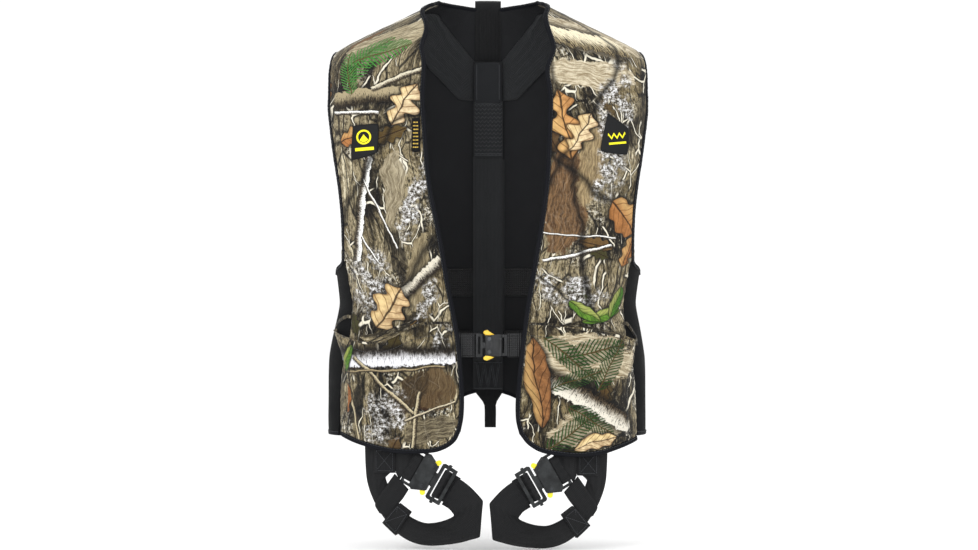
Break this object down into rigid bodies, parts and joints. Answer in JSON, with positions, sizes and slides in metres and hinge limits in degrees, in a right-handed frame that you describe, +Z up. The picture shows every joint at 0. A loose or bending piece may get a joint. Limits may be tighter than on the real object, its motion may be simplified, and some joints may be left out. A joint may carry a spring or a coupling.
{
  "type": "safety harness vest",
  "caption": "Sleeveless woodland-print vest with a full-body safety harness inside: waist and leg buckles with release levers, leg loops, pockets, and a tether with a carabiner.",
  "frame": {"origin": "midway between the two neck corners at the top of the shoulder seams", "axes": "+Z up, front faces -Y, +X to the viewer's right"},
  "size_m": [0.4846, 0.2616, 0.8127],
  "materials": {
    "camo_cloth": "brushed woodland print cloth",
    "black_cloth": "black knit cloth",
    "edge_tape": "black folded binding tape",
    "webbing": "woven polyester webbing",
    "patch_rubber": "matt moulded",
    "label_cloth": "woven label",
    "buckle_metal": "dark grey satin",
    "rivet_steel": "satin",
    "lever_yellow": "satin yellow",
    "carabiner_steel": "satin zinc plated",
    "sleeve_metal": "satin black"
  },
  "bodies": {
    "vest": {"armhole_binding_left": "edge_tape", "armhole_binding_right": "edge_tape", "back_hem_binding": "edge_tape", "back_lining": "black_cloth", "back_panel": "camo_cloth", "belt_strap_left": "webbing", "belt_strap_right": "webbing", "centre_back_strap": "webbing", "chest_patch_left": "patch_rubber", "chest_patch_right": "patch_rubber", "dorsal_sleeve": "webbing", "front_binding_left": "edge_tape", "front_binding_right": "edge_tape", "front_panel_left": "camo_cloth", "front_panel_right": "camo_cloth", "neck_binding": "edge_tape", "pocket_left": "camo_cloth", "pocket_right": "camo_cloth", "shoulder_strap_left": "webbing", "shoulder_strap_right": "webbing", "side_panel_left": "black_cloth", "side_panel_right": "black_cloth", "tail_loop": "webbing", "tear_webbing": "webbing", "tether_riser": "webbing", "waist_adjuster": "buckle_metal", "waist_back_plate": "buckle_metal", "waist_band_back": "black_cloth", "waist_front_plate": "buckle_metal", "waist_rivets": "rivet_steel", "woven_label": "label_cloth"},
    "left_leg_lever_upper": {"left_leg_buckle_lever_upper": "lever_yellow"},
    "left_leg_lever_lower": {"left_leg_buckle_lever_lower": "lever_yellow"},
    "left_leg_slide_bar": {"left_leg_buckle_slide_bar": "buckle_metal"},
    "right_leg_lever_upper": {"right_leg_buckle_lever_upper": "lever_yellow"},
    "right_leg_lever_lower": {"right_leg_buckle_lever_lower": "lever_yellow"},
    "right_leg_slide_bar": {"right_leg_buckle_slide_bar": "buckle_metal"},
    "waist_lever_upper": {"waist_lever_upper": "lever_yellow"},
    "waist_lever_lower": {"waist_lever_lower": "lever_yellow"},
    "tether": {"tether_strap": "webbing"},
    "carabiner": {"carabiner_body": "carabiner_steel"},
    "gate": {"carabiner_gate": "carabiner_steel"},
    "locking_sleeve": {"carabiner_sleeve": "sleeve_metal"},
    "left_leg_loop": {"left_leg_buckle_adjuster": "buckle_metal", "left_leg_buckle_back_plate": "buckle_metal", "left_leg_buckle_front_plate": "buckle_metal", "left_leg_buckle_rivets": "rivet_steel", "left_leg_cross_strap": "webbing", "left_leg_hip_strap": "webbing", "left_leg_keeper": "webbing", "left_leg_loop_strap": "webbing"},
    "right_leg_loop": {"right_leg_buckle_adjuster": "buckle_metal", "right_leg_buckle_back_plate": "buckle_metal", "right_leg_buckle_front_plate": "buckle_metal", "right_leg_buckle_rivets": "rivet_steel", "right_leg_cross_strap": "webbing", "right_leg_hip_strap": "webbing", "right_leg_keeper": "webbing", "right_leg_loop_strap": "webbing"}
  },
  "joints": [
    {"name": "left_leg_swing", "type": "hinge", "parent": "vest", "child": "left_leg_loop", "pos_m": [-0.136, -0.0995, -0.656], "axis": [1, 0, 0], "range_deg": [-6, 45]},
    {"name": "left_leg_lever_upper_press", "type": "hinge", "parent": "left_leg_loop", "child": "left_leg_lever_upper", "pos_m": [-0.07919, -0.11717, -0.68478], "axis": [0.2419, 0.9703, 0], "range_deg": [0, 12], "stiffness_Nm_per_rad": 0.02},
    {"name": "left_leg_lever_lower_press", "type": "hinge", "parent": "left_leg_loop", "child": "left_leg_lever_lower", "pos_m": [-0.09568, -0.11306, -0.71422], "axis": [-0.2419, -0.9703, 0], "range_deg": [0, 12], "stiffness_Nm_per_rad": 0.02},
    {"name": "left_leg_adjuster_slide", "type": "slide", "parent": "left_leg_loop", "child": "left_leg_slide_bar", "axis": [0.8403, -0.2095, -0.5], "range_m": [-0.003, 0.003]},
    {"name": "right_leg_swing", "type": "hinge", "parent": "vest", "child": "right_leg_loop", "pos_m": [0.131, -0.0995, -0.66], "axis": [1, 0, 0], "range_deg": [-6, 45]},
    {"name": "right_leg_lever_upper_press", "type": "hinge", "parent": "right_leg_loop", "child": "right_leg_lever_upper", "pos_m": [0.07419, -0.11717, -0.68878], "axis": [0.2419, -0.9703, 0], "range_deg": [0, 12], "stiffness_Nm_per_rad": 0.02},
    {"name": "right_leg_lever_lower_press", "type": "hinge", "parent": "right_leg_loop", "child": "right_leg_lever_lower", "pos_m": [0.09068, -0.11306, -0.71822], "axis": [-0.2419, 0.9703, 0], "range_deg": [0, 12], "stiffness_Nm_per_rad": 0.02},
    {"name": "right_leg_adjuster_slide", "type": "slide", "parent": "right_leg_loop", "child": "right_leg_slide_bar", "axis": [-0.8403, -0.2095, -0.5], "range_m": [-0.003, 0.003]},
    {"name": "waist_lever_upper_press", "type": "hinge", "parent": "vest", "child": "waist_lever_upper", "pos_m": [0.002, -0.1165, -0.5004], "axis": [0, -1, 0], "range_deg": [0, 10], "stiffness_Nm_per_rad": 0.02},
    {"name": "waist_lever_lower_press", "type": "hinge", "parent": "vest", "child": "waist_lever_lower", "pos_m": [0.002, -0.1165, -0.5196], "axis": [0, 1, 0], "range_deg": [0, 10], "stiffness_Nm_per_rad": 0.02},
    {"name": "tether_lift", "type": "hinge", "parent": "vest", "child": "tether", "pos_m": [0, 0.0708, 0.0034], "axis": [1, 0, 0], "range_deg": [0, 120]},
    {"name": "carabiner_swing", "type": "hinge", "parent": "tether", "child": "carabiner", "pos_m": [0, 0.12, -0.362], "axis": [1, 0, 0], "range_deg": [0, 100]},
    {"name": "gate_open", "type": "hinge", "parent": "carabiner", "child": "gate", "pos_m": [-0.03, 0.12, -0.444], "axis": [0, 1, 0], "range_deg": [0, 24], "stiffness_Nm_per_rad": 0.05, "springref_deg": -11.46},
    {"name": "sleeve_twist", "type": "hinge", "parent": "gate", "child": "locking_sleeve", "pos_m": [-0.03, 0.12, -0.444], "axis": [0, 0, 1], "range_deg": [0, 90]}
  ]
}
